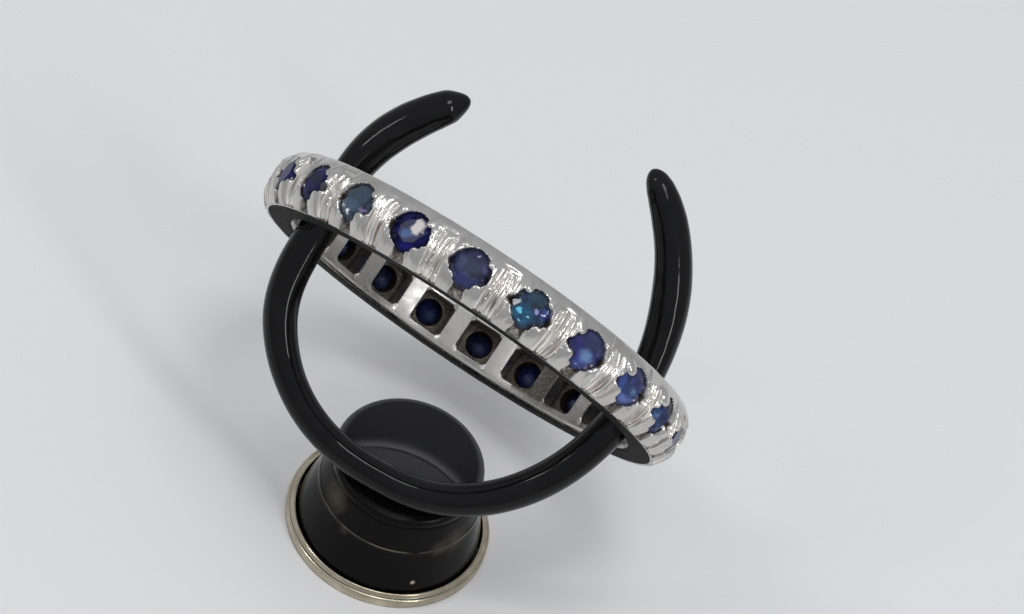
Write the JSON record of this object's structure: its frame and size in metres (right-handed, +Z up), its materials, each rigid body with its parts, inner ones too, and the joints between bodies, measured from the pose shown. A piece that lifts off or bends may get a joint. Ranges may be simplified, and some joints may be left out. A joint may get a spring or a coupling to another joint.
{
  "type": "eternity ring on display stand",
  "caption": "Finger ring with round stones set all the way round a domed metal band, hung on the two arms of a plain open clip on a small turned foot.",
  "frame": {"origin": "centre of the stand's flat base, on the surface that it stands on", "axes": "+Z up, -Y towards the front of the stand, where the clip's foot lies in the cap; +X to the right as seen from the front"},
  "size_m": [0.0205, 0.0149, 0.0201],
  "materials": {
    "white_metal": "polished, with bright graver cuts and light tarnish in the recesses",
    "blue_stone": "cut and polished",
    "black_rod": "glossy",
    "black_cap": "glossy",
    "dark_body": "dark mirror gloss",
    "bright_rim": "polished pale brass"
  },
  "bodies": {
    "root": {"ring_band": "white_metal", "stone_01": "blue_stone", "stone_02": "blue_stone", "stone_03": "blue_stone", "stone_04": "blue_stone", "stone_05": "blue_stone", "stone_06": "blue_stone", "stone_07": "blue_stone", "stone_08": "blue_stone", "stone_09": "blue_stone", "stone_10": "blue_stone", "stone_11": "blue_stone", "stone_12": "blue_stone", "stone_13": "blue_stone", "stone_14": "blue_stone", "stone_15": "blue_stone", "stone_16": "blue_stone", "stone_17": "blue_stone", "stone_18": "blue_stone", "stone_19": "blue_stone", "stone_20": "blue_stone", "stone_21": "blue_stone", "stone_22": "blue_stone", "clip": "black_rod", "foot_cap": "black_cap", "foot_body": "dark_body", "foot_rim": "bright_rim"}
  },
  "joints": []
}
